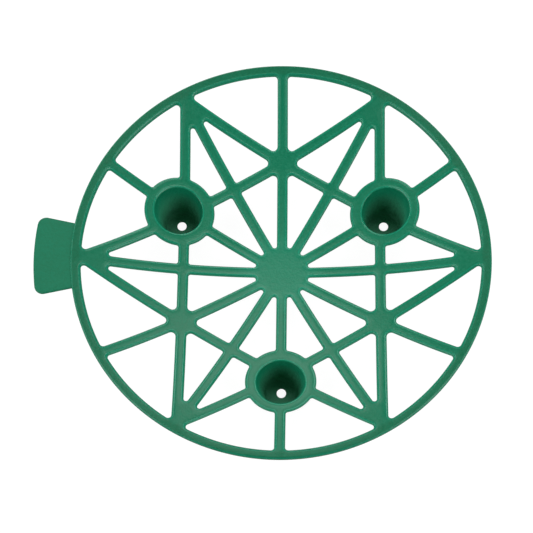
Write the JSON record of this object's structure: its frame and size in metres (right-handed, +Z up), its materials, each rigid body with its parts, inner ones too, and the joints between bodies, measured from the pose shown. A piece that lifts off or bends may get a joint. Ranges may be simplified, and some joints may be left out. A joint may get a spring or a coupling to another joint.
{
  "type": "melon support tray",
  "caption": "Round dished lattice tray on hollow drain legs, with a flat grip tab, that keeps a ripening melon or squash off wet soil.",
  "frame": {"origin": "on the ground under the middle of the part's box, tab included", "axes": "+Z up out of the dish, -X along the grip tab; the rim's axis is upright and 8.55 mm from the origin towards +X"},
  "size_m": [0.212, 0.195, 0.0362],
  "materials": {
    "green_plastic": "satin moulded polypropylene, dark green, soft sheen"
  },
  "bodies": {
    "root": {"centre_hub": "green_plastic", "grip_tab": "green_plastic", "inner_spoke_000": "green_plastic", "inner_spoke_030": "green_plastic", "inner_spoke_060": "green_plastic", "inner_spoke_090": "green_plastic", "inner_spoke_120": "green_plastic", "inner_spoke_150": "green_plastic", "inner_spoke_180": "green_plastic", "inner_spoke_210": "green_plastic", "inner_spoke_240": "green_plastic", "inner_spoke_270": "green_plastic", "inner_spoke_300": "green_plastic", "inner_spoke_330": "green_plastic", "leg_cup_030": "green_plastic", "leg_cup_150": "green_plastic", "leg_cup_270": "green_plastic", "outer_spoke_000": "green_plastic", "outer_spoke_030": "green_plastic", "outer_spoke_060": "green_plastic", "outer_spoke_090": "green_plastic", "outer_spoke_120": "green_plastic", "outer_spoke_150": "green_plastic", "outer_spoke_180": "green_plastic", "outer_spoke_210": "green_plastic", "outer_spoke_240": "green_plastic", "outer_spoke_270": "green_plastic", "outer_spoke_300": "green_plastic", "outer_spoke_330": "green_plastic", "rim_ring": "green_plastic", "star_arm_030_left": "green_plastic", "star_arm_030_right": "green_plastic", "star_arm_090_left": "green_plastic", "star_arm_090_right": "green_plastic", "star_arm_150_left": "green_plastic", "star_arm_150_right": "green_plastic", "star_arm_210_left": "green_plastic", "star_arm_210_right": "green_plastic", "star_arm_270_left": "green_plastic", "star_arm_270_right": "green_plastic", "star_arm_330_left": "green_plastic", "star_arm_330_right": "green_plastic", "star_boss_090": "green_plastic", "star_boss_210": "green_plastic", "star_boss_330": "green_plastic", "star_side_000": "green_plastic", "star_side_060": "green_plastic", "star_side_120": "green_plastic", "star_side_180": "green_plastic", "star_side_240": "green_plastic", "star_side_300": "green_plastic"}
  },
  "joints": []
}
